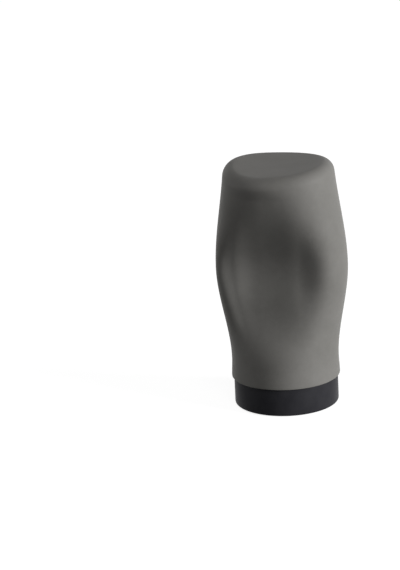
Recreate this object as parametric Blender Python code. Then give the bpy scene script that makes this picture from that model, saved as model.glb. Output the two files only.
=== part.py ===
"""Squeeze dispenser for dish soap: a soft bottle on a screw base with a slit valve in its underside.

The bottle is modelled as it is held, with a thumb's hollow in its front and the fingers' hollow behind.
Sizes are in metres, +Z is up and the front faces -Y. The origin is on the surface that it stands on.
"""

import math

import bmesh
import bpy
from mathutils import Vector

MM = 0.001

# Fits, and the size of the marks on the joints' axes
touch_gap = 0.3 * MM
boolean_overlap = 0.3 * MM
axis_mark_size = 10.0 * MM

# Facets
bottle_segments = 48
base_segments = 48
valve_segments = 32
panel_segments = 36
round_steps = 3
outer_wall_steps = 25
inner_wall_steps = 15
crown_steps = 5
crown_shares = (0.8, 0.55, 0.28)
sharp_angle = 35.0
bottle_sharp_angle = 50.0

# Foot ring
foot_ring_side = 1.3 * MM
foot_ring_sole = 1.5 * MM
foot_ring_height = 3.4 * MM
foot_ring_chamfer = 0.4 * MM

# Base: outer band, deck, ledge for the valve plate and foot wall
foot_proud = 0.6 * MM
band_bottom_round = 1.2 * MM
band_top_round = 0.5 * MM
skirt_wall = 2.2 * MM
deck_thickness = 2.4 * MM
plate_ledge = 1.2 * MM
plate_ledge_thickness = 1.4 * MM
plate_bead = 0.3 * MM
plate_bead_length = 0.8 * MM
plate_bead_under = 0.3 * MM
foot_channel = 3.2 * MM
foot_wall_thickness = 1.8 * MM

# Valve plate: outlet, valve well and sloping floor, from the bottom up
outlet_clearance = 4.2 * MM
drip_ring_depth = 1.8 * MM
drip_ring_wall = 1.3 * MM
drip_ring_step = 0.7 * MM
well_floor_thickness = 2.0 * MM
well_wall = 1.6 * MM
valve_side_gap = 0.7 * MM
snap_bead = 0.5 * MM
snap_bead_length = 1.0 * MM
snap_bead_under = 0.3 * MM
well_rim = 0.9 * MM
floor_fall = 1.5 * MM
plate_thickness = 2.4 * MM

# Base: threaded spigot
spigot_radius = 24.4 * MM
spigot_wall = 2.0 * MM
spigot_chamfer = 0.5 * MM
spigot_above_thread = 2.0 * MM

# Thread between the base and the collar
thread_lead = 6.0 * MM
thread_starts = 2
thread_turns = 0.95
thread_steps = 48
thread_run_in = 3
thread_depth = 1.0 * MM
thread_crest_half = 0.4 * MM
thread_flank_gap = 0.45 * MM
thread_radial_gap = 0.5 * MM
thread_above_deck = 1.9 * MM

# Valve and its retainer
valve_flange_radius = 10.9 * MM
valve_flange_thickness = 1.3 * MM
valve_sleeve_radius = 6.6 * MM
valve_sleeve_wall = 0.9 * MM
valve_head_thickness = 0.9 * MM
valve_head_drop = 0.6 * MM
valve_head_chamfer = 0.5 * MM
slit_land = 1.4 * MM
flap_relief_angle = 48.0
retainer_step = 0.6 * MM
retainer_height = 3.0 * MM
retainer_chamfer = 0.4 * MM

# Gasket
gasket_thickness = 1.5 * MM
gasket_chamfer = 0.3 * MM

# Collar in the bottle's mouth, with ring barbs that the silicone grips
collar_wall = 2.7 * MM
collar_height = 12.6 * MM
collar_chamfer = 0.6 * MM
collar_roof = 1.5 * MM
barb_height = 0.7 * MM
barb_under = 0.5 * MM
barb_ramp = 2.0 * MM
barb_first = 2.6 * MM
barb_spacing = 4.6 * MM
barb_count = 2

# Bottle: relaxed outer shape, with its heights measured up from its lip
mouth_wall = 2.35 * MM
lip_overhang = 1.25 * MM
lip_round = 1.0 * MM
lip_flare = 0.4 * MM
waist_rise = 10.7 * MM
belly_rise = 65.7 * MM
belly_half_width = 37.9 * MM
belly_half_depth = 35.5 * MM
body_length = 126.2 * MM
crown_half_width = 31.3 * MM
crown_half_depth = 31.2 * MM
crown_ease_past = 7.5 * MM
crown_round = 6.5 * MM
crown_dish = 0.8 * MM
lip_squareness = 2.0
crown_squareness = 2.3
squareness_rise = 23.0 * MM
bottle_wall = 2.6 * MM
crown_thickness = 3.2 * MM

# Crown, as the squeeze pulls it down: a level part, two slopes, a saddle and a twist
crown_sag = 0.6 * MM
crown_lean = -0.7 * MM
crown_nod = -0.2 * MM
crown_saddle = -0.8 * MM
crown_twist = 2.0 * MM
crown_sag_rise = 88.1 * MM

# Front hollow: a broad hollow, narrower towards the crown and the lip, and in it the thumb's groove
front_hollow_depth = 14.0 * MM
front_hollow_x = -11.5 * MM
front_hollow_rise = 52.1 * MM
front_hollow_left = 20.0 * MM
front_hollow_right = 28.0 * MM
front_hollow_least = 6.0 * MM
front_hollow_span_down = 52.0 * MM
front_hollow_span_up = 76.0 * MM
front_hollow_down = 27.0 * MM
front_hollow_up = 53.0 * MM
front_hollow_narrowing = 2.8
front_hollow_left_power = 2.5
front_hollow_right_power = 2.0
front_hollow_height_power = 3.4
thumb_depth = 8.5 * MM
thumb_tip_x = 9.0 * MM
thumb_tip_rise = 66.6 * MM
thumb_reach = 14.0 * MM
thumb_half_height = 21.0 * MM

# Rear hollow, under the fingers
rear_hollow_depth = 5.0 * MM
rear_hollow_x = 2.0 * MM
rear_hollow_rise = 67.0 * MM
rear_hollow_left = 24.0 * MM
rear_hollow_right = 22.0 * MM
rear_hollow_down = 32.0 * MM
rear_hollow_up = 34.0 * MM

# Both hollows fade out round the sides, under the crown and above the lip
hollow_wrap = 12.0 * MM
hollow_turn = 8.0 * MM
crown_keep = 2.0 * MM
crown_fade = 11.0 * MM
lip_keep = 2.0 * MM
lip_fade = 14.0 * MM

# Panels of the wall that move under the thumb and the fingers
front_panel_half_width = 19.0 * MM
front_panel_half_height = 27.0 * MM
front_panel_x = -5.0 * MM
front_panel_rise = 69.0 * MM
rear_panel_half_width = 18.0 * MM
rear_panel_half_height = 27.0 * MM
rear_panel_x = 2.0 * MM
rear_panel_rise = 67.0 * MM
panel_inner_y = 2.0 * MM
panel_outer_y = 60.0 * MM

# Radii of the mouth, worked outward from the spigot
thread_pitch = thread_lead / thread_starts
thread_root_half = thread_pitch / 2 - thread_crest_half - thread_flank_gap
spigot_bore = spigot_radius - spigot_wall
collar_bore = spigot_radius + thread_depth + thread_radial_gap
collar_radius = collar_bore + collar_wall
mouth_radius = collar_radius + touch_gap
lip_radius = mouth_radius + mouth_wall
waist_radius = lip_radius - lip_flare
band_radius = lip_radius - lip_overhang
skirt_bore = band_radius - skirt_wall
plate_radius = spigot_bore - touch_gap
ledge_bore = spigot_bore - plate_ledge
foot_wall_radius = skirt_bore - foot_channel
foot_wall_bore = foot_wall_radius - foot_wall_thickness

# Radii of the outlet, worked outward from the valve
well_radius = valve_flange_radius + valve_side_gap
well_outer = well_radius + well_wall
outlet_radius = valve_sleeve_radius + touch_gap
drip_ring_bore = outlet_radius + drip_ring_step
drip_ring_radius = drip_ring_bore + drip_ring_wall
retainer_radius = well_radius - touch_gap
retainer_bore = valve_sleeve_radius + retainer_step
valve_bore = valve_sleeve_radius - valve_sleeve_wall
slit_half_length = valve_bore - slit_land
flap_root = slit_half_length / math.sqrt(2)
flap_hinge_radius = flap_root - touch_gap / 2
flap_relief = valve_head_thickness * math.tan(math.radians(flap_relief_angle))

# Heights, worked up from the surface
foot_wall_bottom = foot_ring_sole + touch_gap
well_underside = outlet_clearance + drip_ring_depth
well_floor = well_underside + well_floor_thickness
valve_flange_bottom = well_floor + touch_gap
valve_flange_top = valve_flange_bottom + valve_flange_thickness
retainer_bottom = valve_flange_top + touch_gap
retainer_top = retainer_bottom + retainer_height
bead_bottom = retainer_top + touch_gap
well_top = bead_bottom + snap_bead_length + well_rim
plate_top = well_top + floor_fall
plate_underside = plate_top - plate_thickness
ledge_top = plate_underside - touch_gap
ledge_underside = ledge_top - plate_ledge_thickness
plate_bead_bottom = plate_top + touch_gap
deck_top = plate_top
deck_underside = deck_top - deck_thickness
valve_head_bottom = well_underside - valve_head_drop
valve_head_top = valve_head_bottom + valve_head_thickness
thread_bottom = deck_top + thread_above_deck
spigot_top = thread_bottom + thread_lead * thread_turns + spigot_above_thread
gasket_bottom = deck_top + touch_gap
gasket_top = gasket_bottom + gasket_thickness
collar_bottom = gasket_top + touch_gap
collar_top = collar_bottom + collar_height
lip_bottom = deck_top + touch_gap
waist_height = lip_bottom + waist_rise
belly_height = lip_bottom + belly_rise
bottle_height = lip_bottom + body_length
crown_ease_end = bottle_height + crown_ease_past
squareness_start = lip_bottom + squareness_rise
crown_sag_start = lip_bottom + crown_sag_rise
front_hollow_z = lip_bottom + front_hollow_rise
thumb_tip_z = lip_bottom + thumb_tip_rise
rear_hollow_z = lip_bottom + rear_hollow_rise
front_panel_z = lip_bottom + front_panel_rise
rear_panel_z = lip_bottom + rear_panel_rise


def clear_scene():
    for obj in list(bpy.data.objects):
        bpy.data.objects.remove(obj, do_unlink=True)


def material(name, colour, roughness):
    made = bpy.data.materials.new(name)
    made.use_nodes = True
    shader = made.node_tree.nodes["Principled BSDF"]
    shader.inputs["Base Color"].default_value = (*colour, 1.0)
    shader.inputs["Roughness"].default_value = roughness
    shader.inputs["Metallic"].default_value = 0.0
    return made


def hang(obj, axis):
    """Parents an object to the empty on its joint's axis and leaves it where it is."""
    obj.parent = axis
    obj.matrix_parent_inverse = axis.matrix_world.inverted()


def place(name, mesh, look, axis):
    obj = bpy.data.objects.new(name, mesh)
    bpy.context.scene.collection.objects.link(obj)
    if not mesh.materials:
        mesh.materials.append(look)
    hang(obj, axis)
    return obj


def joint_axis(name, where, parent=None):
    empty = bpy.data.objects.new(name, None)
    empty.empty_display_size = axis_mark_size
    empty.location = where
    bpy.context.scene.collection.objects.link(empty)
    bpy.context.view_layer.update()
    if parent is not None:
        hang(empty, parent)
        bpy.context.view_layer.update()
    return empty


def finish_mesh(bm, name, sharp_degrees=sharp_angle):
    """Turns a closed bmesh into a mesh with its faces pointing out, smooth but for its sharp edges."""
    bmesh.ops.recalc_face_normals(bm, faces=bm.faces)
    mesh = bpy.data.meshes.new(name)
    bm.to_mesh(mesh)
    bm.free()
    mesh.shade_smooth()
    mesh.set_sharp_from_angle(angle=math.radians(sharp_degrees))
    return mesh


def helper(name, mesh, axis):
    """A cutter, or a shape to be joined on: it shapes another object and isn't a piece."""
    obj = bpy.data.objects.new(name, mesh)
    bpy.context.scene.collection.objects.link(obj)
    hang(obj, axis)
    obj.hide_render = True
    obj.display_type = "WIRE"
    return obj


def boolean(obj, operation, other):
    step = obj.modifiers.new(f"{operation.lower()}_{other.name}", "BOOLEAN")
    step.operation = operation
    step.solver = "EXACT"
    step.object = other


def arc(centre_r, centre_z, radius, from_degrees, to_degrees):
    """Points of a quarter round in a turned profile, with 0 degrees outward and 90 degrees up."""
    points = []
    for i in range(round_steps + 1):
        turn = math.radians(from_degrees + (to_degrees - from_degrees) * i / round_steps)
        points.append((centre_r + radius * math.cos(turn), centre_z + radius * math.sin(turn)))
    return points


def turned(name, profile, segments):
    """A closed profile of (radius, height) points, spun once round Z."""
    bm = bmesh.new()
    loop = [bm.verts.new((r, 0.0, z)) for r, z in profile]
    edges = [bm.edges.new(pair) for pair in zip(loop, loop[1:] + loop[:1])]
    bmesh.ops.spin(
        bm,
        geom=loop + edges,
        cent=(0.0, 0.0, 0.0),
        axis=(0.0, 0.0, 1.0),
        angle=2 * math.pi,
        steps=segments,
        use_merge=True,
    )
    bmesh.ops.remove_doubles(bm, verts=bm.verts, dist=0.001 * MM)
    on_axis = [e for e in bm.edges if len(e.link_faces) == 0]
    bmesh.ops.delete(bm, geom=on_axis, context="EDGES")
    return finish_mesh(bm, name)


def thread_ridges(name, core_radius, outward, first_height):
    """The thread's ridges, one helix for each start, standing out from the spigot or in from the bore."""
    side = 1.0 if outward else -1.0
    root = core_radius - side * boolean_overlap
    steps = round(thread_steps * thread_turns)
    bm = bmesh.new()
    for start in range(thread_starts):
        before = None
        for i in range(steps + 1):
            run_in = min((min(i, steps - i) + 0.5) / thread_run_in, 1.0)
            crest = core_radius + side * thread_depth * run_in
            turn = 2 * math.pi * (i / thread_steps + start / thread_starts)
            height = first_height + thread_lead * i / thread_steps
            corners = (
                (root, -thread_root_half * run_in),
                (crest, -thread_crest_half * run_in),
                (crest, thread_crest_half * run_in),
                (root, thread_root_half * run_in),
            )
            ring = [bm.verts.new((r * math.cos(turn), r * math.sin(turn), height + up)) for r, up in corners]
            if before:
                for a in range(4):
                    b = (a + 1) % 4
                    bm.faces.new((before[a], before[b], ring[b], ring[a]))
            if i in (0, steps):
                bm.faces.new(ring)
            before = ring
    return finish_mesh(bm, name)


def ease(t):
    t = min(max(t, 0.0), 1.0)
    return t * t * (3 - 2 * t)


def blend(a, b, t):
    return a + (b - a) * t


def half_size(z, belly, crown):
    """Half the bottle's relaxed width or depth at height z: lip, waist, belly, then in to the crown."""
    if z < waist_height:
        return blend(lip_radius, waist_radius, ease((z - lip_bottom) / waist_rise))
    if z < belly_height:
        return blend(waist_radius, belly, ease((z - waist_height) / (belly_height - waist_height)))
    return blend(belly, crown, ease((z - belly_height) / (crown_ease_end - belly_height)))


def relaxed_point(angle, z, inset):
    """A point of the relaxed wall, this far in from its outer face. Its outline goes from round to squarish."""
    towards_crown = ease((z - squareness_start) / (bottle_height - squareness_start))
    power = blend(lip_squareness, crown_squareness, towards_crown)
    along, across = math.cos(angle), math.sin(angle)
    half_x = half_size(z, belly_half_width, crown_half_width) - inset
    half_y = half_size(z, belly_half_depth, crown_half_depth) - inset
    x = half_x * math.copysign(abs(along) ** (2 / power), along)
    y = half_y * math.copysign(abs(across) ** (2 / power), across)
    return x, y


def either_side(value, below, above):
    """A reach that passes smoothly from the one below the centre to the one above it."""
    return blend(below, above, 0.5 + 0.5 * math.tanh(value / hollow_turn))


def hollow_fade(z):
    under_crown = ease((bottle_height - crown_keep - z) / crown_fade)
    over_lip = ease((z - lip_bottom - lip_keep) / lip_fade)
    return under_crown * over_lip


def front_hollow(x, z):
    """How far the front wall is pressed in at (x, z)."""
    dx, dz = x - front_hollow_x, z - front_hollow_z
    towards_end = min(abs(dz) / either_side(dz, front_hollow_span_down, front_hollow_span_up), 1.0)
    right = blend(front_hollow_right, front_hollow_least, towards_end**front_hollow_narrowing)
    if dx > 0:
        across = (dx / right) ** front_hollow_right_power
    else:
        across = (-dx / front_hollow_left) ** front_hollow_left_power
    upward = abs(dz) / either_side(dz, front_hollow_down, front_hollow_up)
    broad = front_hollow_depth * math.exp(-across - upward**front_hollow_height_power)
    past_tip = max(x - thumb_tip_x, 0.0) / thumb_reach
    over_tip = (z - thumb_tip_z) / thumb_half_height
    groove = thumb_depth * math.exp(-(past_tip**2) - over_tip**2)
    return (broad + groove) * hollow_fade(z)


def rear_hollow(x, z):
    """How far the rear wall is pressed in at (x, z)."""
    dx, dz = x - rear_hollow_x, z - rear_hollow_z
    across = dx / either_side(dx, rear_hollow_left, rear_hollow_right)
    upward = dz / either_side(dz, rear_hollow_down, rear_hollow_up)
    return rear_hollow_depth * math.exp(-(across**2) - upward**2) * hollow_fade(z)


def sag(x, y, z):
    """How far the squeeze pulls the crown down at a point of the relaxed wall."""
    u, v = x / crown_half_width, y / crown_half_depth
    depth = crown_sag + crown_lean * u + crown_nod * v + crown_saddle * (u * u - v * v) + crown_twist * u * v
    return depth * ease((z - crown_sag_start) / (bottle_height - crown_sag_start))


def pressed(x, y, z):
    """The relaxed point (x, y, z) after the thumb and the fingers have moved it."""
    front = front_hollow(x, z) * ease(-y / hollow_wrap)
    rear = rear_hollow(x, z) * ease(y / hollow_wrap)
    return Vector((x, y + front - rear, z - sag(x, y, z)))


def turns():
    return [2 * math.pi * i / bottle_segments for i in range(bottle_segments)]


def wall_ring(z, inset):
    return [pressed(*relaxed_point(t, z, inset), z) for t in turns()]


def round_ring(radius, z):
    return [Vector((radius * math.cos(t), radius * math.sin(t), z)) for t in turns()]


def crown_rings(z, inset):
    """The top face, which sinks a little towards its middle."""
    rings = []
    for share in crown_shares:
        ring = []
        for t in turns():
            x, y = relaxed_point(t, z, inset)
            x, y = x * share, y * share
            ring.append(Vector((x, y, z - crown_dish * (1 - share**2) - sag(x, y, z))))
        rings.append(ring)
    return rings


def outer_rings():
    """The skin outside, from the lip's underside up the wall and over the rolled edge."""
    rings = []
    for i in range(round_steps + 1):
        turn = math.pi / 2 * i / round_steps
        height = lip_bottom + lip_round * (1 - math.cos(turn))
        rings.append(wall_ring(height, lip_round * (1 - math.sin(turn))))
    wall_bottom = lip_bottom + lip_round
    wall_top = bottle_height - crown_round
    for i in range(1, outer_wall_steps + 1):
        rings.append(wall_ring(blend(wall_bottom, wall_top, i / outer_wall_steps), 0.0))
    for i in range(1, crown_steps + 1):
        turn = math.pi / 2 * i / crown_steps
        rings.append(wall_ring(wall_top + crown_round * math.sin(turn), crown_round * (1 - math.cos(turn))))
    return rings + crown_rings(bottle_height, crown_round)


def barb_heights():
    return [collar_bottom + barb_first + i * barb_spacing for i in range(barb_count)]


def barb_points(radius, height, clearance):
    """One ring barb of the collar, or with a clearance the groove that it sits in."""
    return [
        (radius, height - barb_under - clearance),
        (radius + barb_height, height),
        (radius, height + barb_ramp + clearance),
    ]


def inner_rings():
    """The skin inside, from the mouth up past the collar's grooves and the wall to under the crown."""
    rings = [round_ring(mouth_radius, lip_bottom)]
    for height in barb_heights():
        rings += [round_ring(r, z) for r, z in barb_points(mouth_radius, height, touch_gap)]
    rings.append(round_ring(mouth_radius, collar_top + touch_gap))
    wall_bottom = collar_top + collar_roof
    wall_top = bottle_height - crown_round
    for i in range(inner_wall_steps + 1):
        rings.append(wall_ring(blend(wall_bottom, wall_top, i / inner_wall_steps), bottle_wall))
    rise, reach = crown_round - crown_thickness, crown_round - bottle_wall
    for i in range(1, round_steps + 1):
        turn = math.pi / 2 * i / round_steps
        rings.append(wall_ring(wall_top + rise * math.sin(turn), bottle_wall + reach * (1 - math.cos(turn))))
    return rings + crown_rings(bottle_height - crown_thickness, crown_round)[1:]


def add_skin(bm, rings):
    """Bridges the rings in turn, closes the last one to a point and returns the first one's vertices."""
    made = [[bm.verts.new(point) for point in ring] for ring in rings]
    count = bottle_segments
    for low, high in zip(made, made[1:]):
        for a in range(count):
            b = (a + 1) % count
            bm.faces.new((low[a], low[b], high[b], high[a]))
    tip = bm.verts.new(sum(rings[-1], Vector()) / count)
    for a in range(count):
        bm.faces.new((made[-1][a], made[-1][(a + 1) % count], tip))
    return made[0]


def bottle_mesh():
    bm = bmesh.new()
    outside = add_skin(bm, outer_rings())
    inside = add_skin(bm, inner_rings())
    for a in range(bottle_segments):
        b = (a + 1) % bottle_segments
        bm.faces.new((outside[a], inside[a], inside[b], outside[b]))
    return finish_mesh(bm, "bottle_moulding", bottle_sharp_angle)


def panel_prism(name, x, z, half_width, half_height, grow, front):
    """An oval prism along Y, through one wall of the bottle."""
    bm = bmesh.new()
    near = -panel_outer_y if front else panel_inner_y
    far = -panel_inner_y if front else panel_outer_y
    oval = []
    for i in range(panel_segments):
        turn = 2 * math.pi * i / panel_segments
        oval.append((x + (half_width + grow) * math.cos(turn), z + (half_height + grow) * math.sin(turn)))
    first = bm.faces.new([bm.verts.new((u, near, v)) for u, v in oval])
    moved = bmesh.ops.extrude_face_region(bm, geom=[first])["geom"]
    verts = [item for item in moved if isinstance(item, bmesh.types.BMVert)]
    bmesh.ops.translate(bm, vec=(0.0, far - near, 0.0), verts=verts)
    return finish_mesh(bm, name)


def snap_bead_points(radius, reach, bottom, under, length):
    """A bead on a bore's wall, from its top to its bottom, that a piece snaps past."""
    return [
        (radius, bottom + length),
        (radius - reach, bottom + under),
        (radius, bottom),
    ]


def base_profile():
    """The screw base's section: skirt, deck, spigot, bead and ledge for the valve plate, and foot wall."""
    outer_low = arc(band_radius - band_bottom_round, foot_proud + band_bottom_round, band_bottom_round, -90, 0)
    outer_high = arc(band_radius - band_top_round, deck_top - band_top_round, band_top_round, 0, 90)
    return [
        (skirt_bore, foot_proud),
        *outer_low,
        *outer_high,
        (spigot_radius, deck_top),
        (spigot_radius, spigot_top - spigot_chamfer),
        (spigot_radius - spigot_chamfer, spigot_top),
        (spigot_bore, spigot_top),
        *snap_bead_points(spigot_bore, plate_bead, plate_bead_bottom, plate_bead_under, plate_bead_length),
        (spigot_bore, ledge_top),
        (ledge_bore, ledge_top),
        (ledge_bore, ledge_underside),
        (foot_wall_bore, ledge_underside),
        (foot_wall_bore, foot_wall_bottom),
        (foot_wall_radius, foot_wall_bottom),
        (foot_wall_radius, deck_underside),
        (skirt_bore, deck_underside),
    ]


def valve_plate_profile():
    """A disc that falls to the valve's well, with the outlet through the well's floor and a drip ring under it."""
    return [
        (plate_radius, plate_underside),
        (plate_radius, plate_top),
        (well_radius, well_top),
        *snap_bead_points(well_radius, snap_bead, bead_bottom, snap_bead_under, snap_bead_length),
        (well_radius, well_floor),
        (outlet_radius, well_floor),
        (outlet_radius, well_underside),
        (drip_ring_bore, well_underside),
        (drip_ring_bore, outlet_clearance),
        (drip_ring_radius, outlet_clearance),
        (drip_ring_radius, well_underside),
        (well_outer, well_underside),
        (well_outer, well_top - plate_thickness),
    ]


def foot_ring_profile():
    """A soft channel that is pressed up onto the foot wall."""
    inner = foot_wall_bore - touch_gap
    outer = foot_wall_radius + touch_gap
    return [
        (inner - foot_ring_side + foot_ring_chamfer, 0.0),
        (outer + foot_ring_side - foot_ring_chamfer, 0.0),
        (outer + foot_ring_side, foot_ring_chamfer),
        (outer + foot_ring_side, foot_ring_height),
        (outer, foot_ring_height),
        (outer, foot_ring_sole),
        (inner, foot_ring_sole),
        (inner, foot_ring_height),
        (inner - foot_ring_side, foot_ring_height),
        (inner - foot_ring_side, foot_ring_chamfer),
    ]


def retainer_profile():
    return [
        (retainer_bore, retainer_bottom),
        (retainer_radius, retainer_bottom),
        (retainer_radius, retainer_top - retainer_chamfer),
        (retainer_radius - retainer_chamfer, retainer_top),
        (retainer_bore + retainer_chamfer, retainer_top),
        (retainer_bore, retainer_top - retainer_chamfer),
    ]


def valve_profile():
    """Flange, sleeve and head. The head reaches the axis, where the slit's window is then cut."""
    return [
        (0.0, valve_head_bottom),
        (valve_sleeve_radius - valve_head_chamfer, valve_head_bottom),
        (valve_sleeve_radius, valve_head_bottom + valve_head_chamfer),
        (valve_sleeve_radius, valve_flange_bottom),
        (valve_flange_radius, valve_flange_bottom),
        (valve_flange_radius, valve_flange_top),
        (valve_bore, valve_flange_top),
        (valve_bore, valve_head_top),
        (0.0, valve_head_top),
    ]


def slit_window_mesh():
    """The square that the four flaps fill, with its corners at the ends of the slit's arms."""
    bm = bmesh.new()
    made = bmesh.ops.create_cube(bm, size=1.0)["verts"]
    side = 2 * flap_root
    bmesh.ops.scale(bm, vec=(side, side, 3 * valve_head_thickness), verts=made)
    bmesh.ops.translate(bm, vec=(0.0, 0.0, (valve_head_bottom + valve_head_top) / 2), verts=made)
    return finish_mesh(bm, "slit_window")


def flap_mesh(name):
    """One flap that points back at the slit's centre. Its own origin is on its hinge, at its upper face.

    The root is cut back towards its lower face, so that it clears the head when the flap bends down.
    """
    tip = touch_gap / 2 * math.sqrt(2)
    root = flap_root - touch_gap
    bm = bmesh.new()
    layers = []
    for reach, height in ((root, 0.0), (root - flap_relief, -valve_head_thickness)):
        corners = [(tip, 0.0), (reach, tip - reach), (reach, reach - tip)]
        layers.append([bm.verts.new((x - flap_hinge_radius, y, height)) for x, y in corners])
    top, bottom = layers
    bm.faces.new(top)
    bm.faces.new(bottom)
    for a in range(3):
        b = (a + 1) % 3
        bm.faces.new((top[a], top[b], bottom[b], bottom[a]))
    return finish_mesh(bm, name)


def gasket_profile():
    outer = collar_radius - gasket_chamfer
    return [
        (collar_bore, gasket_bottom + gasket_chamfer),
        (collar_bore + gasket_chamfer, gasket_bottom),
        (outer - gasket_chamfer, gasket_bottom),
        (outer, gasket_bottom + gasket_chamfer),
        (outer, gasket_top),
        (collar_bore, gasket_top),
    ]


def collar_profile():
    barbs = []
    for height in barb_heights():
        barbs += barb_points(collar_radius, height, 0.0)
    return [
        (collar_bore + collar_chamfer, collar_bottom),
        (collar_radius, collar_bottom),
        *barbs,
        (collar_radius, collar_top),
        (collar_bore + collar_chamfer, collar_top),
        (collar_bore, collar_top - collar_chamfer),
        (collar_bore, collar_bottom + collar_chamfer),
    ]


clear_scene()
silicone_grey = material("silicone_grey", (0.165, 0.160, 0.150), 0.62)
black_plastic = material("black_plastic", (0.022, 0.022, 0.026), 0.42)
black_rubber = material("black_rubber", (0.030, 0.030, 0.032), 0.75)
clear_silicone = material("clear_silicone", (0.62, 0.63, 0.62), 0.45)

stand_axis = joint_axis("stand", (0.0, 0.0, 0.0))
lift_axis = joint_axis("bottle_lift", (0.0, 0.0, deck_top), stand_axis)
turn_axis = joint_axis("bottle_turn", (0.0, 0.0, deck_top), lift_axis)
front_axis = joint_axis("thumb_press", (front_panel_x, -belly_half_depth, front_panel_z), turn_axis)
rear_axis = joint_axis("finger_press", (rear_panel_x, belly_half_depth, rear_panel_z), turn_axis)

# Base, which stands still
base_cap = place("base_cap", turned("base_cap", base_profile(), base_segments), black_plastic, stand_axis)
base_thread = thread_ridges("base_thread", spigot_radius, True, thread_bottom)
boolean(base_cap, "UNION", helper("base_thread", base_thread, stand_axis))
place("foot_ring", turned("foot_ring", foot_ring_profile(), base_segments), black_rubber, stand_axis)
plate = turned("valve_plate", valve_plate_profile(), base_segments)
place("valve_plate", plate, black_plastic, stand_axis)
retainer = turned("valve_retainer", retainer_profile(), valve_segments)
place("valve_retainer", retainer, black_plastic, stand_axis)

valve_mesh = turned("dispensing_valve", valve_profile(), valve_segments)
dispensing_valve = place("dispensing_valve", valve_mesh, clear_silicone, stand_axis)
boolean(dispensing_valve, "DIFFERENCE", helper("slit_window", slit_window_mesh(), stand_axis))

shared_flap = flap_mesh("valve_flap")
for side, quarter in (("right", 0), ("rear", 1), ("left", 2), ("front", 3)):
    turn = math.pi / 2 * quarter
    hinge_point = (flap_hinge_radius * math.cos(turn), flap_hinge_radius * math.sin(turn), valve_head_top)
    flap_axis = joint_axis(f"flap_{side}_hinge", hinge_point, stand_axis)
    flap = bpy.data.objects.new(f"valve_flap_{side}", shared_flap)
    flap.location = hinge_point
    flap.rotation_euler = (0.0, 0.0, turn)
    bpy.context.scene.collection.objects.link(flap)
    if not shared_flap.materials:
        shared_flap.materials.append(clear_silicone)
    bpy.context.view_layer.update()
    hang(flap, flap_axis)

# Gasket, which rises with the bottle
place("collar_gasket", turned("collar_gasket", gasket_profile(), base_segments), black_rubber, lift_axis)

# Bottle, which turns as it rises
collar = turned("mouth_collar", collar_profile(), base_segments)
mouth_collar = place("mouth_collar", collar, black_plastic, turn_axis)
collar_thread = thread_ridges("collar_thread", collar_bore, False, thread_bottom + thread_pitch / 2)
boolean(mouth_collar, "UNION", helper("collar_thread", collar_thread, turn_axis))

moulding = bottle_mesh()
front_oval = ("front_panel", front_panel_x, front_panel_z, front_panel_half_width, front_panel_half_height)
rear_oval = ("rear_panel", rear_panel_x, rear_panel_z, rear_panel_half_width, rear_panel_half_height)
squeeze_body = place("squeeze_body", moulding, silicone_grey, turn_axis)
for (name, *oval), is_front in ((front_oval, True), (rear_oval, False)):
    wide = panel_prism(f"{name}_opening", *oval, touch_gap / 2, is_front)
    boolean(squeeze_body, "DIFFERENCE", helper(f"{name}_opening", wide, turn_axis))

front_press_wall = place("front_press_wall", moulding, silicone_grey, front_axis)
front_cut = panel_prism("front_panel_cut", *front_oval[1:], -touch_gap / 2, True)
boolean(front_press_wall, "INTERSECT", helper("front_panel_cut", front_cut, front_axis))

rear_press_wall = place("rear_press_wall", moulding, silicone_grey, rear_axis)
rear_cut = panel_prism("rear_panel_cut", *rear_oval[1:], -touch_gap / 2, False)
boolean(rear_press_wall, "INTERSECT", helper("rear_panel_cut", rear_cut, rear_axis))
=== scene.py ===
"""A squeeze dispenser for dish soap: a soft silicone bottle on a black screw base, with a slit valve
under it.

It is shown squeezed, with a deep hollow pressed into its front and a shallow one behind. Sizes are in
metres, +Z is up and the front faces -Y. Heights are above the surface that it stands on.
"""

import math

import bmesh
import bpy
from mathutils import Matrix, Vector


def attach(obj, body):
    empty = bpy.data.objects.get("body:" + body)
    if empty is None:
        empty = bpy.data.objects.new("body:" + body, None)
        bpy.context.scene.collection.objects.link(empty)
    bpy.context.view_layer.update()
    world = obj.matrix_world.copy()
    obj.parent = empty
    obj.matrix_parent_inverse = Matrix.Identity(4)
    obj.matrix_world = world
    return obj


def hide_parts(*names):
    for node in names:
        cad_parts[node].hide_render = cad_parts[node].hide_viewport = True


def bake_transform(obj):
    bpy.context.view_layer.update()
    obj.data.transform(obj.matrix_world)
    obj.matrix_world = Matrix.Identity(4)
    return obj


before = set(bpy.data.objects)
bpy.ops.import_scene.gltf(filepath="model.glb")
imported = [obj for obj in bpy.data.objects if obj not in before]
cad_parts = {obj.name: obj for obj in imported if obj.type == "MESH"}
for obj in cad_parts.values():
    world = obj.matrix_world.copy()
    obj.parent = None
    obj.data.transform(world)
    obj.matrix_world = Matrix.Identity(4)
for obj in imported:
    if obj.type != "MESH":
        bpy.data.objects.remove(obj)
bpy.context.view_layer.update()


# Silicone bottle
# One soft moulding of liquid silicone with a closed top, pulled off its core through the open mouth.
# Its wall bends where it is pressed, so the model is cut at its sides into a front and a rear half.

mm = 0.001
merge_distance = 0.001 * mm

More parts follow.
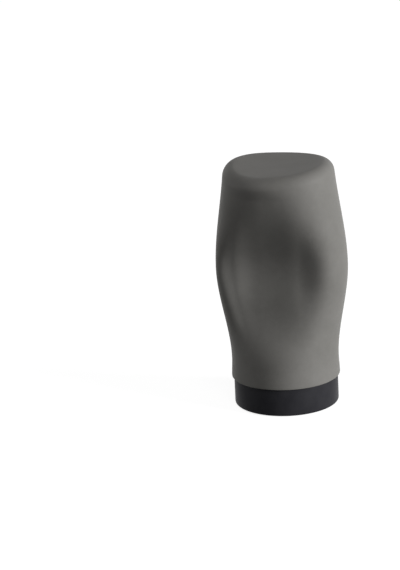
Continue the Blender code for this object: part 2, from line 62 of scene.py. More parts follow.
lip_bottom = 16.9 * mm
lip_radius = 31.25 * mm
lip_round = 0.5 * mm
mouth_radius = 28.9 * mm
groove_heights = (21.3 * mm, 25.9 * mm)
groove_depth = 0.7 * mm
groove_under = 0.8 * mm
groove_over = 2.3 * mm
shoulder_low = 31.6 * mm
shoulder_high = 32.8 * mm
bottle_wall = 2.6 * mm
waist_height = 27.6 * mm
waist_radius = 30.85 * mm
belly_height = 82.6 * mm
belly_half_width = 37.9 * mm
belly_half_depth = 35.5 * mm
bottle_top = 143.1 * mm
crown_half_width = 31.3 * mm
crown_half_depth = 31.2 * mm
crown_ease_end = 150.6 * mm
crown_round = 6.5 * mm
crown_dish = 0.8 * mm
crown_thickness = 3.2 * mm

# The outline's power: 2 is round, and more is squarer.
round_power = 2.0
crown_power = 2.3
squareness_start = 39.9 * mm

# How the squeeze pulls the crown down.
crown_sag = 0.6 * mm
crown_lean = -0.7 * mm
crown_nod = -0.2 * mm
crown_saddle = -0.8 * mm
crown_twist = 2.0 * mm
crown_sag_start = 105.0 * mm

# The broad hollow in front, the dent in its middle, and the hollow behind. A centre is (x, height).
front_hollow_depth = 14.0 * mm
front_hollow_centre = (-11.5 * mm, 69.0 * mm)
front_hollow_left = 20.0 * mm
front_hollow_right = 28.0 * mm
front_hollow_least = 6.0 * mm
front_hollow_spans = (52.0 * mm, 76.0 * mm)
front_hollow_heights = (27.0 * mm, 53.0 * mm)
front_hollow_narrowing = 2.8
front_hollow_side_powers = (2.5, 2.0)
front_hollow_height_power = 3.4
dent_depth = 8.5 * mm
dent_tip = (9.0 * mm, 83.5 * mm)
dent_reach = 14.0 * mm
dent_half_height = 21.0 * mm
rear_hollow_depth = 5.0 * mm
rear_hollow_centre = (2.0 * mm, 83.9 * mm)
rear_hollow_sides = (24.0 * mm, 22.0 * mm)
rear_hollow_heights = (32.0 * mm, 34.0 * mm)
hollow_wrap = 25.0 * mm
hollow_turn = 8.0 * mm
crown_keep = 2.0 * mm
crown_fade = 11.0 * mm
lip_keep = 2.0 * mm
lip_fade = 14.0 * mm
front_wall_travel = 22.3 * mm

# The bottle is spun as a plain core of this radius, and then takes its outline and its hollows.
core_radius = 40.0 * mm
crown_reach = core_radius - crown_round
bottle_segments = 216
wall_rows = 110
inner_rows = 50
face_rows = 16
crown_round_rows = 16
inner_round_rows = 8
lip_round_rows = 6


def ease(t):
    """0 up to t = 0, 1 from t = 1 on, and smooth between them."""
    t = min(max(t, 0.0), 1.0)
    return t * t * (3 - 2 * t)


def between(a, b, share):
    """The value that lies this share of the way from a to b."""
    return a + (b - a) * share


def half_size(z, belly, crown):
    """Half the relaxed bottle's width or depth: lip, waist, belly, then in to the crown."""
    if z < waist_height:
        return between(lip_radius, waist_radius, ease((z - lip_bottom) / (waist_height - lip_bottom)))
    if z < belly_height:
        return between(waist_radius, belly, ease((z - waist_height) / (belly_height - waist_height)))
    return between(belly, crown, ease((z - belly_height) / (crown_ease_end - belly_height)))


def either_side(value, below, above):
    """The first figure where value is under 0, the second where it is over, smooth between them."""
    return between(below, above, 0.5 + 0.5 * math.tanh(value / hollow_turn))


def hollow_fade(z):
    """1 on the wall, and 0 at the crown and at the lip, which the hollows leave alone."""
    under_crown = ease((bottle_top - crown_keep - z) / crown_fade)
    above_lip = ease((z - lip_bottom - lip_keep) / lip_fade)
    return under_crown * above_lip


def front_hollow(x, y, z):
    """A hollow that is open to the left and narrows to the crown and the lip, with a dent in it."""
    dx, dz = x - front_hollow_centre[0], z - front_hollow_centre[1]
    towards_end = min(abs(dz) / either_side(dz, *front_hollow_spans), 1.0)
    right = between(front_hollow_right, front_hollow_least, towards_end**front_hollow_narrowing)
    left_power, right_power = front_hollow_side_powers
    across = (dx / right) ** right_power if dx > 0 else (-dx / front_hollow_left) ** left_power
    upward = abs(dz) / either_side(dz, *front_hollow_heights)
    broad = front_hollow_depth * math.exp(-across - upward**front_hollow_height_power)
    past_tip = max(x - dent_tip[0], 0.0) / dent_reach
    over_tip = (z - dent_tip[1]) / dent_half_height
    dent = dent_depth * math.exp(-(past_tip**2) - over_tip**2)
    return (broad + dent) * hollow_fade(z) * ease(-y / hollow_wrap)


def rear_hollow(x, y, z):
    """A shallow oval hollow."""
    dx, dz = x - rear_hollow_centre[0], z - rear_hollow_centre[1]
    across = dx / either_side(dx, *rear_hollow_sides)
    upward = dz / either_side(dz, *rear_hollow_heights)
    depth = rear_hollow_depth * math.exp(-(across**2) - upward**2)
    return depth * hollow_fade(z) * ease(y / hollow_wrap)


def sag(x, y, z):
    """How far the squeeze pulls the crown down: a level part, two slopes, a saddle and a twist."""
    u, v = x / crown_half_width, y / crown_half_depth
    level_and_slopes = crown_sag + crown_lean * u + crown_nod * v
    depth = level_and_slopes + crown_saddle * (u * u - v * v) + crown_twist * u * v
    return depth * ease((z - crown_sag_start) / (bottle_top - crown_sag_start))


def arc_points(inset, z, radius_in, radius_up, start, end, steps):
    """A quarter round's points, as (inset, height), with 0 degrees outward and 90 degrees up."""
    points = []
    for i in range(steps + 1):
        turn = math.radians(between(start, end, i / steps))
        points.append((inset - radius_in * math.cos(turn), z + radius_up * math.sin(turn)))
    return points


def bottle_section():
    """The wall's section as (inset, height), from the top's middle down to the lip and back inside."""
    wall_top = bottle_top - crown_round
    lip_top = lip_bottom + lip_round
    points = []
    for i in range(face_rows):
        share = i / face_rows
        points.append((core_radius - crown_reach * share, bottle_top - crown_dish * (1 - share**2)))
    points += arc_points(crown_round, wall_top, crown_round, crown_round, 90, 0, crown_round_rows)
    for i in range(1, wall_rows):
        points.append((0.0, between(wall_top, lip_top, i / wall_rows)))
    points += arc_points(lip_round, lip_top, lip_round, lip_round, 0, -90, lip_round_rows)
    points.append((lip_radius - mouth_radius, lip_bottom))
    for height in groove_heights:
        low_end, high_end = height - groove_under, height + groove_over
        for reach, z in ((0.0, low_end), (groove_depth, height), (0.0, high_end)):
            half = half_size(z, belly_half_width, crown_half_width)
            points.append((half - mouth_radius - reach, z))
    half = half_size(shoulder_low, belly_half_width, crown_half_width)
    points.append((half - mouth_radius, shoulder_low))
    for i in range(inner_rows):
        points.append((bottle_wall, between(shoulder_high, wall_top, i / inner_rows)))
    reach = crown_round - bottle_wall
    rise = crown_round - crown_thickness
    points += arc_points(crown_round, wall_top, reach, rise, 0, 90, inner_round_rows)
    for i in range(1, face_rows + 1):
        share = 1 - i / face_rows
        dish = crown_dish * (1 - share**2)
        points.append((core_radius - crown_reach * share, bottle_top - crown_thickness - dish))
    return points


def turned(section, segments, closed=True):
    """A section of (radius, height) points, spun once round the axis. An open one ends on the axis."""
    made = bmesh.new()
    chain = [made.verts.new((radius, 0.0, z)) for radius, z in section]
    following = chain[1:] + chain[:1] if closed else chain[1:]
    edges = [made.edges.new(pair) for pair in zip(chain, following)]
    bmesh.ops.spin(
        made, geom=chain + edges, cent=(0, 0, 0), axis=(0, 0, 1), angle=2 * math.pi, steps=segments,
        use_merge=True,
    )
    bmesh.ops.remove_doubles(made, verts=made.verts, dist=merge_distance)
    bmesh.ops.delete(made, geom=[e for e in made.edges if not e.link_faces], context="EDGES")
    bmesh.ops.recalc_face_normals(made, faces=made.faces)
    return made


def relaxed(place):
    """Where a point of the core lies on the bottle before it is squeezed."""
    angle = math.atan2(place.y, place.x)
    reach = math.hypot(place.x, place.y)
    inset = min(core_radius - reach, crown_round)
    share = min(reach / crown_reach, 1.0)
    squareness = ease((place.z - squareness_start) / (bottle_top - squareness_start))
    power = between(round_power, crown_power, squareness)
    along, across = math.cos(angle), math.sin(angle)
    half_x = half_size(place.z, belly_half_width, crown_half_width) - inset
    half_y = half_size(place.z, belly_half_depth, crown_half_depth) - inset
    x = half_x * math.copysign(abs(along) ** (2 / power), along) * share
    y = half_y * math.copysign(abs(across) ** (2 / power), across) * share
    return Vector((x, y, place.z))


core_section = [(core_radius - inset, z) for inset, z in bottle_section()]
bottle = turned(core_section, bottle_segments, closed=False)
press_layer = bottle.verts.layers.float.new("press")
normal_layer = bottle.verts.layers.float_vector.new("whole_normal")
for vert in bottle.verts:
    place = relaxed(vert.co)
    front, rear = front_hollow(*place), rear_hollow(*place)
    vert[press_layer] = front / front_wall_travel + rear / rear_hollow_depth
    vert.co = place + Vector((0, front - rear, -sag(*place)))
bottle.normal_update()
for vert in bottle.verts:
    vert[normal_layer] = vert.normal


def half_bottle(name, side):
    """The half of the moulding in front (-1) or behind (1), and how far each of its points is pressed.

    It is closed where it meets the other half, and shaded as if the moulding were whole.
    """
    half = bottle.copy()
    other = [face for face in half.faces if face.calc_center_median().y * side < 0]
    bmesh.ops.delete(half, geom=other, context="FACES")
    bmesh.ops.triangle_fill(half, use_beauty=True, edges=[e for e in half.edges if e.is_boundary])
    joint_faces = [f for f in half.faces if all(abs(v.co.y) < merge_distance for v in f.verts)]
    for face in half.faces:
        face.smooth = True
    for face in joint_faces:
        face.smooth = False
        if face.normal.y * side > 0:
            face.normal_flip()
    mesh = bpy.data.meshes.new(name)
    half.to_mesh(mesh)
    half.free()
    whole_normals = mesh.attributes["whole_normal"].data
    normals = []
    for face in mesh.polygons:
        for vertex in face.vertices:
            normals.append(whole_normals[vertex].vector[:] if face.use_smooth else face.normal[:])
    press = [item.value for item in mesh.attributes["press"].data]
    mesh.attributes.remove(mesh.attributes["whole_normal"])
    mesh.attributes.remove(mesh.attributes["press"])
    mesh.normals_split_custom_set(normals)
    made = bpy.data.objects.new(name, mesh)
    bpy.context.scene.collection.objects.link(made)
    return made, press


# Most values of a noise lie between these.
noise_low, noise_high = 0.3, 0.7


class Signal:
    """An output of one of a material's nodes. Arithmetic on it adds Math nodes."""

    def __init__(self, tree, output):
        self.tree = tree
        self.output = output

    def node(self, kind, settings, inputs, output=0):
        """A new node in the same material: its settings first, then each input's value or Signal."""
        made = self.tree.nodes.new(kind)
        for name, value in settings.items():
            setattr(made, name, value)
        for key, value in inputs.items():
            if isinstance(value, Signal):
                self.tree.links.new(value.output, made.inputs[key])
            else:
                made.inputs[key].default_value = value
        return Signal(self.tree, made.outputs[output])

    def maths(self, operation, *values):
        """A Math node on these values."""
        return self.node("ShaderNodeMath", {"operation": operation}, dict(enumerate(values)))

    def __add__(self, other):
        return self.maths("ADD", self, other)

    __radd__ = __add__

    def __mul__(self, other):
        return self.maths("MULTIPLY", self, other)

    __rmul__ = __mul__

    def noise(self, scale, detail=2.0, roughness=0.5):
        """Values mostly from noise_low to noise_high, in spots of about one over scale metres."""
        inputs = {"Vector": self, "Scale": scale, "Detail": detail, "Roughness": roughness}
        return self.node("ShaderNodeTexNoise", {}, inputs)

    def spread(self):
        """A noise's usual values, spread smoothly from 0 to 1."""
        inputs = {"Value": self, "From Min": noise_low, "From Max": noise_high}
        inputs.update({"To Min": 0.0, "To Max": 1.0})
        return self.node("ShaderNodeMapRange", {"interpolation_type": "SMOOTHSTEP"}, inputs)

    def colours(self, first, second):
        """From the first colour where this is 0 to the second where it is 1."""
        # This node's colours are its inputs 6 and 7 and its output 2.
        inputs = {"Factor": self, 6: (*first, 1.0), 7: (*second, 1.0)}
        return self.node("ShaderNodeMix", {"data_type": "RGBA"}, inputs, 2)


def finish(name, specular):
    """A new material, with its Principled shader and the place of each point on the object."""
    made = bpy.data.materials.new(name)
    made.use_nodes = True
    tree = made.node_tree
    shader = tree.nodes["Principled BSDF"]
    shader.inputs["Specular IOR Level"].default_value = specular
    place = Signal(tree, tree.nodes.new("ShaderNodeTexCoord").outputs["Object"])
    return made, shader, place


def feed(shader, **signals):
    """Links signals to the shader's inputs, with the input's name written with underscores."""
    for name, signal in signals.items():
        signal.tree.links.new(signal.output, shader.inputs[name.replace("_", " ")])


def bump(place, height, strength, depth):
    """A normal that follows the height, which is depth metres high where the height is 1."""
    return place.node("ShaderNodeBump", {}, {"Height": height, "Strength": strength, "Distance": depth})


# Broad clouds, a fine matte grain, and a mottle of a few millimetres.
silicone_dark, silicone_light = (0.146, 0.143, 0.134), (0.172, 0.168, 0.159)
silicone, shader, place = finish("soft_touch_silicone", specular=0.11)
cloud = place.noise(scale=38.0, detail=3.0)
grain = place.noise(scale=3200.0)
mottle = place.noise(scale=260.0, detail=4.0, roughness=0.6)
feed(
    shader,
    Base_Color=(0.7 * cloud + 0.3 * mottle).spread().colours(silicone_dark, silicone_light),
    Roughness=0.50 + 0.12 * mottle,
    Normal=bump(place, 0.7 * grain + 0.3 * mottle, strength=0.25, depth=0.05 * mm),
)

front_half, front_press = half_bottle("silicone_bottle_front", -1)
front_half.data.materials.append(silicone)
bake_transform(front_half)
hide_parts("squeeze_body", "front_press_wall")

rear_half, rear_press = half_bottle("silicone_bottle_rear", 1)
rear_half.data.materials.append(silicone)
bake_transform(rear_half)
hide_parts("rear_press_wall")


# Screw base
# A black injection moulding, spark-eroded to a satin: the band that shows, the deck and threaded spigot
# inside the bottle's mouth, a ledge and a snap bead for the valve plate, and a wall for the foot ring.

foot_height = 0.6 * mm
band_radius = 30.0 * mm
band_foot_round = 1.2 * mm
band_top_round = 0.5 * mm
skirt_bore = 27.8 * mm
deck_top = 16.6 * mm
deck_underside = 14.2 * mm
spigot_radius = 24.4 * mm
spigot_bore = 22.4 * mm
spigot_top = 26.2 * mm
plate_bead_radius = 22.1 * mm
plate_bead_bottom = 16.9 * mm
plate_bead_nose = 17.2 * mm
plate_bead_top = 17.7 * mm
ledge_bore = 21.2 * mm
ledge_top = 13.9 * mm
ledge_underside = 12.5 * mm
foot_wall_radius = 24.6 * mm
foot_wall_bore = 22.8 * mm
foot_wall_bottom = 1.8 * mm
moulded_edge = 0.1 * mm
thread_lead = 6.0 * mm
thread_starts = 2
thread_turns = 0.95
thread_bottom = 18.5 * mm
thread_depth = 1.0 * mm
thread_sink = 0.3 * mm
thread_crest_half = 0.4 * mm
thread_root_half = 0.65 * mm
thread_run_in = math.radians(22.5)
thread_least = 0.2
thread_steps = 150
thread_start_tolerance = 0.01
round_segments = 192
ring_tolerance = 0.01 * mm
eased_above = math.radians(30.0)
smooth_below = math.radians(40.0)


def rounded(made, edges, width, segments, clamp_overlap=False):
    """Rounds these edges."""
    bmesh.ops.bevel(
        made, geom=edges, offset=width, offset_type="OFFSET", segments=segments, profile=0.5,
        affect="EDGES", material=-1, clamp_overlap=clamp_overlap,
    )


def rounded_ring(made, radius, height, width, segments):
    """Rounds the ring-shaped edge at this radius and height."""
    ring = []
    for edge in made.edges:
        off = max(max(abs(v.co.xy.length - radius), abs(v.co.z - height)) for v in edge.verts)
        if off < ring_tolerance:
            ring.append(edge)
    rounded(made, ring, width, segments)


def rounded_all(made, width, segments):
    """Rounds every edge that turns by more than eased_above."""
    sharp = [e for e in made.edges if len(e.link_faces) == 2 and e.calc_face_angle() > eased_above]
    rounded(made, sharp, width, segments, clamp_overlap=True)


def scene_object(made, name, material):
    """Turns a bmesh into an object, smooth but for the edges that turn by more than smooth_below."""
    mesh = bpy.data.meshes.new(name)
    made.to_mesh(mesh)
    made.free()
    mesh.shade_smooth()
    mesh.set_sharp_from_angle(angle=smooth_below)
    mesh.materials.append(material)
    obj = bpy.data.objects.new(name, mesh)
    bpy.context.scene.collection.objects.link(obj)
    return obj


def thread(core, outward, first_height):
    """The thread's ridges, a helix for each start, out from the spigot or in from the collar.

    Each is spun from its section, sinks a little into what carries it, and runs out at both ends.
    """
    side = 1 if outward else -1
    root = core - side * thread_sink
    crest = core + side * thread_depth
    outline = [
        (root, -thread_root_half),
        (crest, -thread_crest_half),
        (crest, thread_crest_half),
        (root, thread_root_half),
    ]
    run = 2 * math.pi * thread_turns
    made = bmesh.new()
    for start in range(thread_starts):
        first = made.faces.new([made.verts.new((radius, 0.0, up)) for radius, up in outline])
        bmesh.ops.spin(
            made, geom=[first], cent=(0, 0, 0), axis=(0, 0, 1), angle=run, steps=thread_steps,
            dvec=(0, 0, thread_lead * thread_turns / thread_steps),
        )
        ridge = [v for v in made.verts if not v.tag]
        for vert in ridge:
            vert.tag = True
            turn = math.atan2(vert.co.y, vert.co.x) + thread_start_tolerance
            turn = turn % (2 * math.pi) - thread_start_tolerance
            centre = thread_lead * turn / (2 * math.pi)
            size = between(thread_least, 1.0, ease(min(turn, run - turn) / thread_run_in))
            reach = vert.co.xy.length
            vert.co.xy *= (root + (reach - root) * size) / reach
            vert.co.z = first_height + centre + (vert.co.z - centre) * size
        start_turn = Matrix.Rotation(2 * math.pi * start / thread_starts, 3, "Z")
        bmesh.ops.rotate(made, verts=ridge, cent=(0, 0, 0), matrix=start_turn)
    bmesh.ops.recalc_face_normals(made, faces=made.faces)
    return made


def combined(operation, *shapes):
    """The first shape with the others joined on (UNION) or cut out (DIFFERENCE)."""
    holders = []
    for shape in shapes:
        mesh = bpy.data.meshes.new("boolean_part")
        shape.to_mesh(mesh)
        shape.free()
        holder = bpy.data.objects.new("boolean_part", mesh)
        bpy.context.scene.collection.objects.link(holder)
        holders.append(holder)
    for other in holders[1:]:
        step = holders[0].modifiers.new("boolean", "BOOLEAN")
        step.operation = operation
        step.solver = "EXACT"
        step.object = other
    bpy.context.view_layer.update()
    result = bmesh.new()
    result.from_mesh(holders[0].evaluated_get(bpy.context.evaluated_depsgraph_get()).to_mesh())
    bmesh.ops.remove_doubles(result, verts=result.verts, dist=merge_distance)
    for holder in holders:
        bpy.data.objects.remove(holder)
    return result


# The texture of the spark-eroded mould, and a faint shine where it is handled.
black_dark, black_light = (0.0204, 0.0204, 0.0238), (0.0276, 0.0276, 0.0314)
black_plastic, shader, place = finish("satin_black_plastic", specular=0.04)
erosion = place.noise(scale=2600.0, detail=3.0, roughness=0.6)
handling = place.noise(scale=70.0, detail=4.0, roughness=0.6)
feed(
    shader,
    Base_Color=handling.spread().colours(black_dark, black_light),
    Roughness=0.36 + 0.14 * handling,
    Normal=bump(place, erosion, strength=0.22, depth=0.04 * mm),
)

base_shape = turned(
    [
        (skirt_bore, foot_height),
        (band_radius, foot_height),
        (band_radius, deck_top),
        (spigot_radius, deck_top),
        (spigot_radius, spigot_top),
        (spigot_bore, spigot_top),
        (spigot_bore, plate_bead_top),
        (plate_bead_radius, plate_bead_nose),
        (spigot_bore, plate_bead_bottom),
        (spigot_bore, ledge_top),
        (ledge_bore, ledge_top),
        (ledge_bore, ledge_underside),
        (foot_wall_bore, ledge_underside),
        (foot_wall_bore, foot_wall_bottom),
        (foot_wall_radius, foot_wall_bottom),
        (foot_wall_radius, deck_underside),
        (skirt_bore, deck_underside),
    ],
    round_segments,
)
rounded_ring(base_shape, band_radius, foot_height, width=band_foot_round, segments=6)
rounded_ring(base_shape, band_radius, deck_top, width=band_top_round, segments=4)
rounded_all(base_shape, width=moulded_edge, segments=1)
base_thread = thread(spigot_radius, outward=True, first_height=thread_bottom)
base_shape = combined("UNION", base_shape, base_thread)
screw_base = scene_object(base_shape, "screw_base", black_plastic)
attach(screw_base, "base")
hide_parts("base_cap")


# Valve plate
# A black moulding that snaps into the screw base from above. It falls to a well in its middle, which
# holds the slit valve, and a drip ring stands down round its outlet.

plate_radius = 22.1 * mm
plate_underside = 14.2 * mm
well_radius = 11.6 * mm
well_outer = 13.2 * mm
well_top = 15.1 * mm
well_floor = 8.0 * mm
well_underside = 6.0 * mm
bead_bottom = 13.2 * mm
bead_nose = 13.5 * mm
bead_top = 14.2 * mm
bead_radius = 11.1 * mm
outlet_radius = 6.9 * mm
outlet_bottom = 4.2 * mm
drip_ring_bore = 7.6 * mm
drip_ring_radius = 8.9 * mm

plate_shape = turned(
    [
        (plate_radius, plate_underside),
        (plate_radius, deck_top),
        (well_radius, well_top),
        (well_radius, bead_top),
        (bead_radius, bead_nose),
        (well_radius, bead_bottom),
        (well_radius, well_floor),
        (outlet_radius, well_floor),
        (outlet_radius, well_underside),
        (drip_ring_bore, well_underside),
        (drip_ring_bore, outlet_bottom),
        (drip_ring_radius, outlet_bottom),
        (drip_ring_radius, well_underside),
        (well_outer, well_underside),
        (well_outer, well_top - (deck_top - plate_underside)),
    ],
    round_segments,
)
rounded_all(plate_shape, width=moulded_edge, segments=1)
plate = scene_object(plate_shape, "valve_floor_plate", black_plastic)
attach(plate, "base")
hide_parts("valve_plate")


# Foot ring
# A soft black rubber channel, pressed up onto the base's inner wall, that keeps the dispenser from
# sliding. Fine grooves run round its sole.

foot_inner, foot_outer = 21.2 * mm, 26.2 * mm
channel_inner, channel_outer = 22.5 * mm, 24.9 * mm
channel_roof = 1.5 * mm
foot_ring_top = 3.4 * mm
sole_round = 0.4 * mm
sole_groove_radii = (22.6 * mm, 23.7 * mm, 24.8 * mm)
sole_groove_half = 0.25 * mm
sole_groove_depth = 0.3 * mm

# A fine crumb from the mould, and a faint bloom on it.
rubber_dark, rubber_light = (0.024, 0.024, 0.025), (0.036, 0.036, 0.037)
black_rubber, shader, place = finish("matte_black_rubber", specular=0.3)
crumb = place.noise(scale=1500.0, detail=3.0)
bloom = place.noise(scale=120.0, detail=4.0)
feed(
    shader,
    Base_Color=bloom.spread().colours(rubber_dark, rubber_light),
    Roughness=0.68 + 0.14 * crumb,
    Normal=bump(place, crumb, strength=0.3, depth=0.06 * mm),
)

sole = []
for radius in sole_groove_radii:
    sole += [
        (radius - sole_groove_half, 0.0),
        (radius - sole_groove_half / 2, sole_groove_depth),
        (radius + sole_groove_half / 2, sole_groove_depth),
        (radius + sole_groove_half, 0.0),
    ]
foot_shape = turned(
    [
        (foot_inner, 0.0),
        *sole,
        (foot_outer, 0.0),
        (foot_outer, foot_ring_top),
        (channel_outer, foot_ring_top),
        (channel_outer, channel_roof),
        (channel_inner, channel_roof),
        (channel_inner, foot_ring_top),
        (foot_inner, foot_ring_top),
    ],
    round_segments,
)
for radius in (foot_inner, foot_outer):
    rounded_ring(foot_shape, radius, 0.0, width=sole_round, segments=3)
foot_ring = scene_object(foot_shape, "non_slip_foot_ring", black_rubber)
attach(foot_ring, "base")
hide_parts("foot_ring")


# Mouth collar
# A rigid black plastic ring with the thread inside it. The bottle's soft mouth is stretched over it,
# and its two barbs hold in the mouth's grooves.

collar_radius = 28.6 * mm
collar_bore = 25.9 * mm
collar_bottom = 18.7 * mm
collar_top = 31.3 * mm
collar_edge = 0.15 * mm
barb_height = 0.7 * mm
barb_under = 0.5 * mm
barb_ramp = 2.0 * mm
thread_pitch = thread_lead / thread_starts

barbs = []
for height in groove_heights:
    barbs += [
        (collar_radius, height - barb_under),
        (collar_radius + barb_height, height),
        (collar_radius, height + barb_ramp),
    ]
collar_shape = turned(
    [
        (collar_bore, collar_bottom),
        (collar_radius, collar_bottom),
        *barbs,
        (collar_radius, collar_top),
        (collar_bore, collar_top),
    ],
    round_segments,
)
rounded_all(collar_shape, width=collar_edge, segments=1)
collar_thread = thread(collar_bore, outward=False, first_height=thread_bottom + thread_pitch / 2)
collar_shape = combined("UNION", collar_shape, collar_thread)
collar = scene_object(collar_shape, "mouth_collar_ring", black_plastic)
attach(collar, "bottle")
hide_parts("mouth_collar")


# Collar gasket
# A flat ring of black rubber between the collar and the base's deck. It is squeezed as the bottle is
# screwed down.

gasket_bottom = 16.9 * mm
gasket_top = 18.4 * mm
gasket_outer = 28.3 * mm
gasket_round = 0.35 * mm

gasket_shape = turned(
    [
        (collar_bore, gasket_bottom),
        (gasket_outer, gasket_bottom),
        (gasket_outer, gasket_top),
        (collar_bore, gasket_top),
    ],
    round_segments,
)
rounded_all(gasket_shape, width=gasket_round, segments=4)
gasket = scene_object(gasket_shape, "flat_gasket", black_rubber)
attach(gasket, "seal")
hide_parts("collar_gasket")


# Slit valve
# A cloudy silicone moulding: a flange that is clamped in the well, a sleeve through the outlet, and a
# thin head with a cross cut through it, which leaves four flaps. They bend out when the bottle is
# squeezed.

flange_radius = 10.9 * mm
flange_bottom = 8.3 * mm
flange_top = 9.6 * mm
flange_round = 0.2 * mm
sleeve_radius = 6.6 * mm
sleeve_bore = 5.7 * mm
head_bottom = 5.4 * mm
head_top = 6.3 * mm
head_round = 0.5 * mm
head_thickness = head_top - head_bottom
valve_segments = 96
flap_root = 3.04 * mm
flap_rows = 12
slit_half_width = 0.03 * mm

# A cloudy rubber that lets some light a little way in.
haze_dark, haze_light = (0.58, 0.59, 0.58), (0.66, 0.67, 0.66)
valve_silicone, shader, place = finish("cloudy_clear_silicone", specular=0.5)
shader.inputs["Subsurface Weight"].default_value = 0.25
shader.inputs["Subsurface Scale"].default_value = 1.0 * mm
shader.inputs["Subsurface Radius"].default_value = (1.0, 0.95, 0.9)
haze = place.noise(scale=400.0, detail=4.0, roughness=0.6)
feed(
    shader,
    Base_Color=haze.spread().colours(haze_dark, haze_light),
    Roughness=0.32 + 0.12 * haze,
    Normal=bump(place, place.noise(scale=2200.0), strength=0.15, depth=0.03 * mm),
)

# The head is made whole, and then the square window for the four flaps is cut right through it.
valve_shape = turned(
    [
        (0.0, head_bottom),
        (sleeve_radius, head_bottom),
        (sleeve_radius, flange_bottom),
        (flange_radius, flange_bottom),
        (flange_radius, flange_top),
        (sleeve_bore, flange_top),
        (sleeve_bore, head_top),
        (0.0, head_top),
    ],
    valve_segments,
)
rounded_ring(valve_shape, sleeve_radius, head_bottom, width=head_round, segments=4)
rounded_ring(valve_shape, flange_radius, flange_bottom, width=flange_round, segments=3)
rounded_ring(valve_shape, flange_radius, flange_top, width=flange_round, segments=3)
rounded_ring(valve_shape, sleeve_bore, flange_top, width=flange_round, segments=3)

window = bmesh.new()
bmesh.ops.create_cube(window, size=1.0)
bmesh.ops.scale(window, vec=(2 * flap_root, 2 * flap_root, 3 * head_thickness), verts=window.verts)
bmesh.ops.translate(window, vec=(0, 0, (head_bottom + head_top) / 2), verts=window.verts)
valve = scene_object(combined("DIFFERENCE", valve_shape, window), "slit_valve", valve_silicone)
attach(valve, "base")
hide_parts("dispensing_valve")


def flap_shape(turn):
    """One flap: a wedge with its root on the window's edge and its tip at the slit's centre."""
    made = bmesh.new()
    tip = slit_half_width * math.sqrt(2)
    spread = flap_root - tip
    corners = [(tip, 0.0), (flap_root, -spread), (flap_root, spread)]
    face = made.faces.new([made.verts.new((x, y, head_bottom)) for x, y in corners])
    raised = bmesh.ops.extrude_face_region(made, geom=[face])["geom"]
    top = [v for v in raised if isinstance(v, bmesh.types.BMVert)]
    bmesh.ops.translate(made, verts=top, vec=(0, 0, head_thickness))
    for i in range(1, flap_rows):
        everything = made.verts[:] + made.edges[:] + made.faces[:]
        cut = between(tip, flap_root, i / flap_rows)
        bmesh.ops.bisect_plane(made, geom=everything, plane_co=(cut, 0, 0), plane_no=(1, 0, 0))
    bmesh.ops.rotate(made, verts=made.verts, cent=(0, 0, 0), matrix=turn)
    bmesh.ops.recalc_face_normals(made, faces=made.faces)
    return made


for side, quarter in (("right", 0), ("rear", 1), ("left", 2), ("front", 3)):
    turn = Matrix.Rotation(math.pi / 2 * quarter, 3, "Z")
    flap = scene_object(flap_shape(turn), f"slit_flap_{side}", valve_silicone)
    height = Vector((0, 0, head_top))
    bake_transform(flap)
    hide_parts(f"valve_flap_{side}")


# Valve retainer
# A black plastic ring that clamps the valve's flange. It is pushed down past the snap bead in the
# well's wall, which then holds it.

retainer_radius = 11.3 * mm
retainer_bore = 7.2 * mm
retainer_bottom = 9.9 * mm
retainer_top = 12.9 * mm
retainer_round = 0.35 * mm
retainer_segments = 128

retainer_shape = turned(
    [
        (retainer_bore, retainer_bottom),
        (retainer_radius, retainer_bottom),
        (retainer_radius, retainer_top),
        (retainer_bore, retainer_top),
    ],
    retainer_segments,
)
rounded_all(retainer_shape, width=retainer_round, segments=3)
retainer = scene_object(retainer_shape, "snap_in_retainer", black_plastic)
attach(retainer, "base")
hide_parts("valve_retainer")


# Studio
# A sheet of pale paper, with a low soft box to the right of the camera, two weak ones to the left and
# above, and low light from all round.

floor_size = 6.0
paper_grey = 0.10
paper_grey_seen = 0.36
paper_glow = 0.90
ambient = 0.12
lamp_distance = 2.5
lamp_size = 1.0
lamp_target = Vector((0, 0, 0.08))


def seen_by_camera(tree):
    """1 where the camera looks, straight or by way of gloss or glass, and 0 for all other light."""
    path = tree.nodes.new("ShaderNodeLightPath")
    seen = Signal(tree, path.outputs["Is Camera Ray"])
    for ray in ("Is Glossy Ray", "Is Transmission Ray"):
        seen = seen.maths("MAXIMUM", seen, Signal(tree, path.outputs[ray]))
    return seen


floor_shape = bmesh.new()
bmesh.ops.create_grid(floor_shape, x_segments=1, y_segments=1, size=floor_size / 2)
paper = bpy.data.materials.new("white_paper")
paper.use_nodes = True
tree = paper.node_tree
tree.nodes.remove(tree.nodes["Principled BSDF"])
seen = seen_by_camera(tree)
paper_colour = seen.colours((paper_grey,) * 3, (paper_grey_seen,) * 3)
diffuse = seen.node("ShaderNodeBsdfDiffuse", {}, {"Color": paper_colour})
glow = seen.node("ShaderNodeEmission", {}, {"Color": (1, 1, 1, 1), "Strength": paper_glow * seen})
both = seen.node("ShaderNodeAddShader", {}, {0: diffuse, 1: glow})
tree.links.new(both.output, tree.nodes["Material Output"].inputs["Surface"])
floor = scene_object(floor_shape, "paper_floor", paper)

world = bpy.data.worlds.new("studio")
world.use_nodes = True
bpy.context.scene.world = world
seen = seen_by_camera(world.node_tree)
sky = world.node_tree.nodes["Background"]
sky.inputs["Color"].default_value = (1, 1, 1, 1)
world.node_tree.links.new((ambient + (1 - ambient) * seen).output, sky.inputs["Strength"])


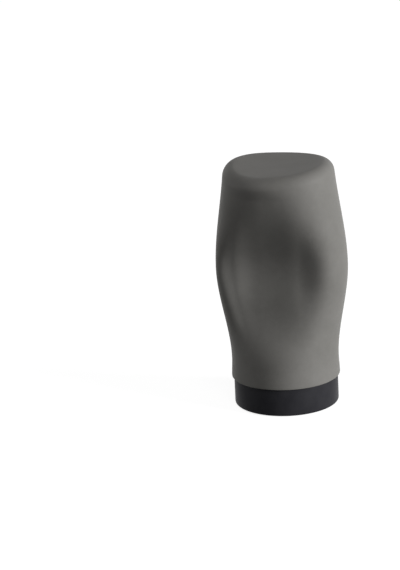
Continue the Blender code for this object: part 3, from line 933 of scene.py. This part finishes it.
def soft_box(name, azimuth, elevation, watts):
    """A square lamp that faces the bottle. In degrees, azimuth 0 is in front and 90 to its right."""
    turn, rise = math.radians(azimuth), math.radians(elevation)
    away = Vector((math.sin(turn) * math.cos(rise), -math.cos(turn) * math.cos(rise), math.sin(rise)))
    lamp = bpy.data.lights.new(name, "AREA")
    lamp.shape = "SQUARE"
    lamp.size = lamp_size
    lamp.energy = watts
    obj = bpy.data.objects.new(name, lamp)
    obj.location = lamp_target + away * lamp_distance
    obj.rotation_mode = "QUATERNION"
    obj.rotation_quaternion = (-away).to_track_quat("-Z", "Y")
    bpy.context.scene.collection.objects.link(obj)


soft_box("key_soft_box", azimuth=65, elevation=10, watts=87)
soft_box("left_soft_box", azimuth=-95, elevation=10, watts=10)
soft_box("top_soft_box", azimuth=0, elevation=60, watts=9)


# Camera
# A long lens from in front and a little above, turned a little about its own axis, with the bottle
# right of the middle of the upright frame.

view_distance = 2.0
view_elevation = math.radians(17.6)
view_roll = math.radians(2.25)
aim_point = Vector((0, 0, 0.0706))
aim_pixel = (282.6, 284.2)
frame_width, frame_height = 400, 570
pixels_per_metre = 1742
sensor = 36.0

focal_pixels = pixels_per_metre * view_distance
back = Vector((0, -math.cos(view_elevation), math.sin(view_elevation)))
level_right = Vector((1, 0, 0))
level_up = back.cross(level_right)
right = level_right * math.cos(view_roll) - level_up * math.sin(view_roll)
up = level_right * math.sin(view_roll) + level_up * math.cos(view_roll)
middle = right * (frame_width / 2 - aim_pixel[0]) - up * (frame_height / 2 - aim_pixel[1])
forward = (middle - back * focal_pixels).normalized()
across = (right - forward * right.dot(forward)).normalized()
upright = across.cross(forward)
spot = aim_point + back * view_distance
camera = bpy.data.cameras.new("camera")
camera.sensor_width = sensor
camera.lens = focal_pixels * sensor / frame_height
camera.clip_start = 0.05
camera.clip_end = 20.0
viewer = bpy.data.objects.new("camera", camera)
rows = [(across[i], upright[i], -forward[i], spot[i]) for i in range(3)]
viewer.matrix_world = Matrix(rows + [(0, 0, 0, 1)])
bpy.context.scene.collection.objects.link(viewer)
bpy.context.scene.camera = viewer
bpy.context.scene.view_settings.view_transform = "Standard"
